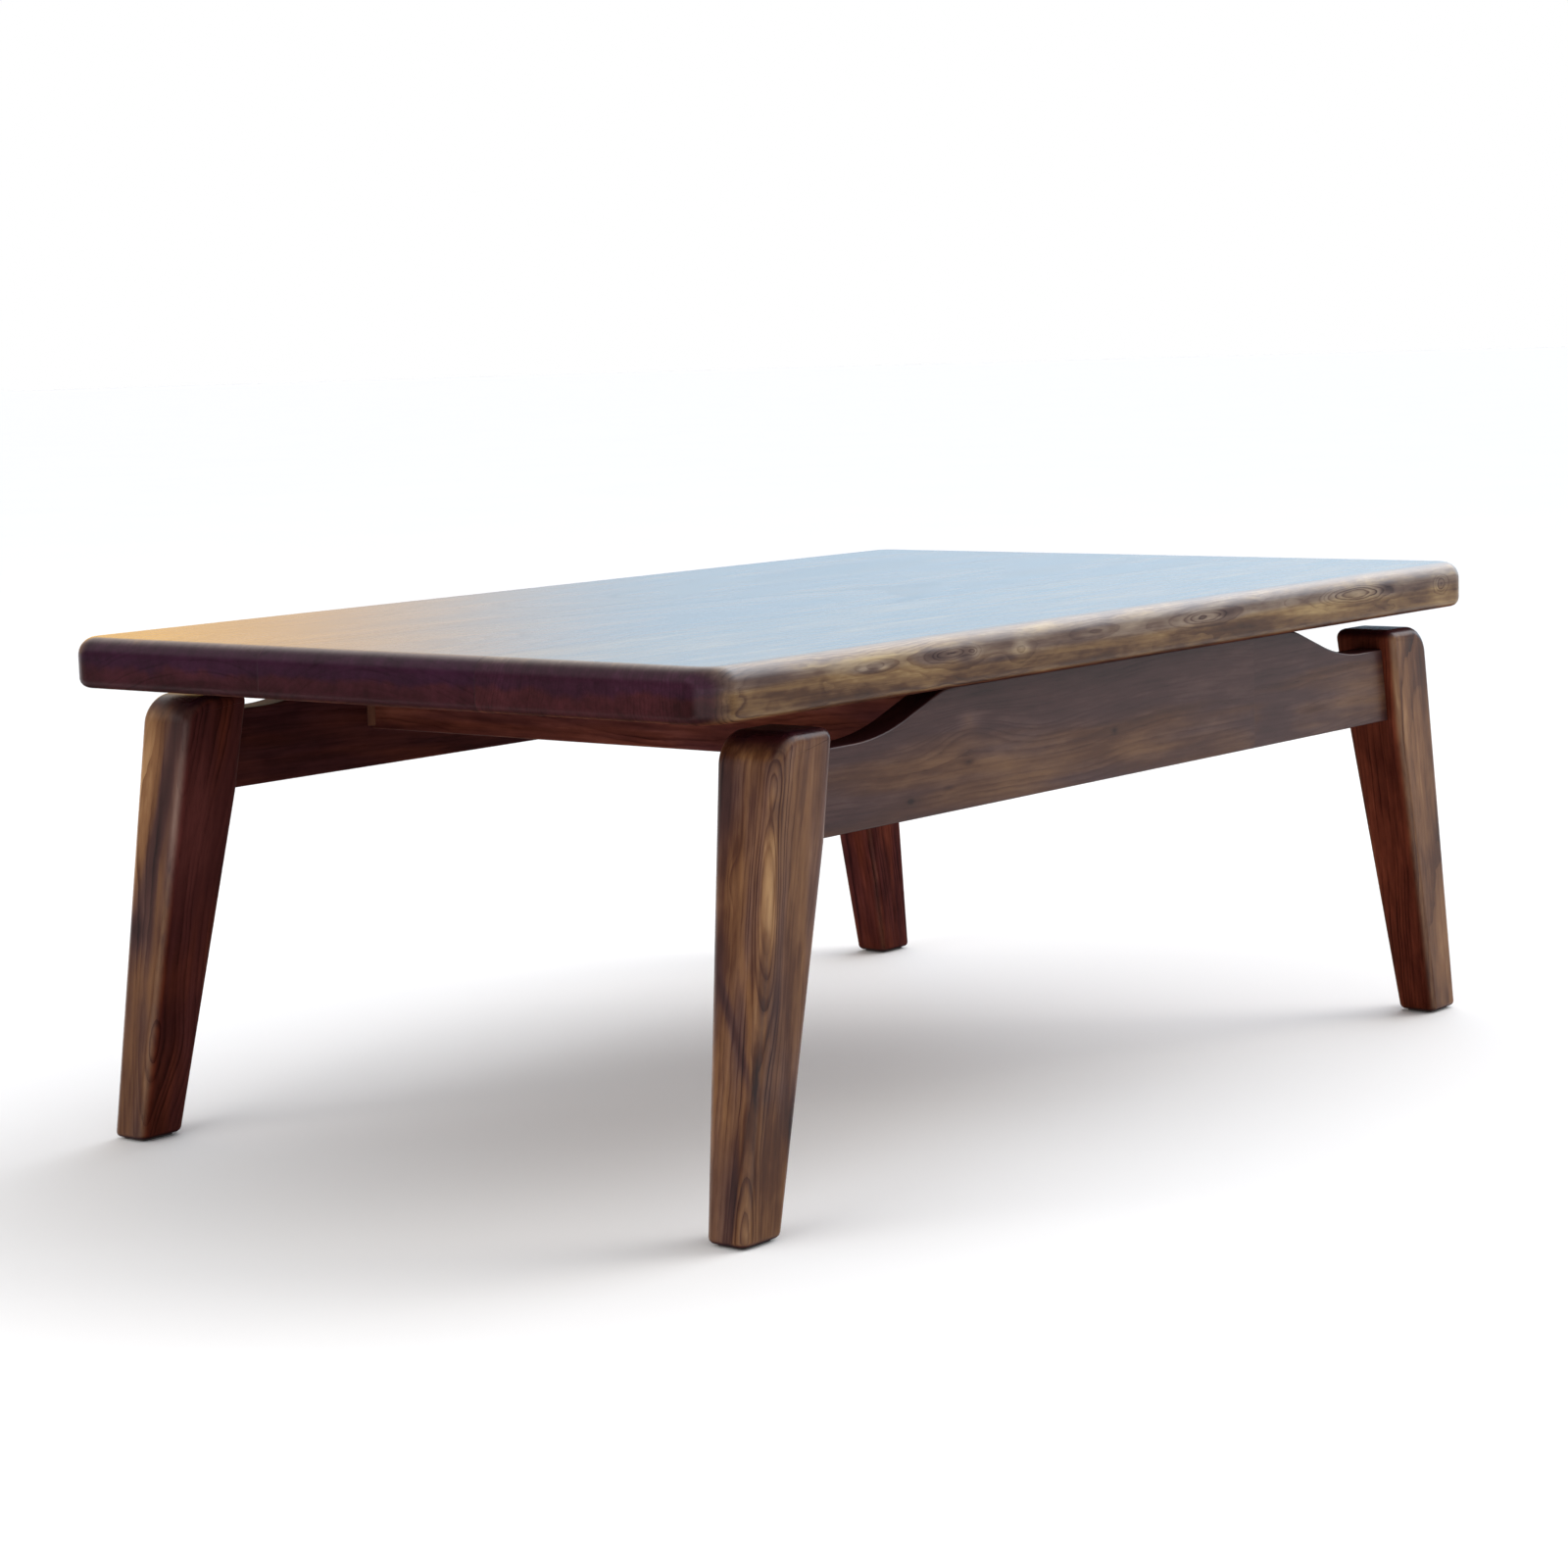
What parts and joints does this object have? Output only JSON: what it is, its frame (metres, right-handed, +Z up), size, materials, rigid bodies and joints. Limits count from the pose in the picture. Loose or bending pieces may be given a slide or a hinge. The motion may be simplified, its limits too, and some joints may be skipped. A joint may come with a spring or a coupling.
{
  "type": "low floor table",
  "caption": "Low rectangular wooden floor table with rounded board edges, splayed tapered legs and scooped aprons with finger gaps under the top.",
  "frame": {"origin": "on the floor, under the middle of the top", "axes": "+X along the length of the top, +Y across it towards the back, +Z up"},
  "size_m": [0.8, 0.5, 0.305],
  "materials": {
    "top_wood": "satin lacquer over dark stained ash",
    "leg_wood": "satin lacquer over dark stained ash",
    "frame_wood": "satin lacquer over dark stained ash",
    "steel": "zinc plated",
    "felt": "pressed felt"
  },
  "bodies": {
    "root": {"top_board_front": "top_wood", "top_board_middle": "top_wood", "top_board_back": "top_wood", "leg_front_left": "leg_wood", "leg_front_right": "leg_wood", "leg_back_left": "leg_wood", "leg_back_right": "leg_wood", "apron_front": "frame_wood", "apron_back": "frame_wood", "rail_left": "frame_wood", "rail_right": "frame_wood", "corner_bead_front_left": "frame_wood", "corner_bead_front_right": "frame_wood", "corner_bead_back_left": "frame_wood", "corner_bead_back_right": "frame_wood", "top_screws": "steel", "foot_pad_front_left": "felt", "foot_pad_front_right": "felt", "foot_pad_back_left": "felt", "foot_pad_back_right": "felt"}
  },
  "joints": []
}
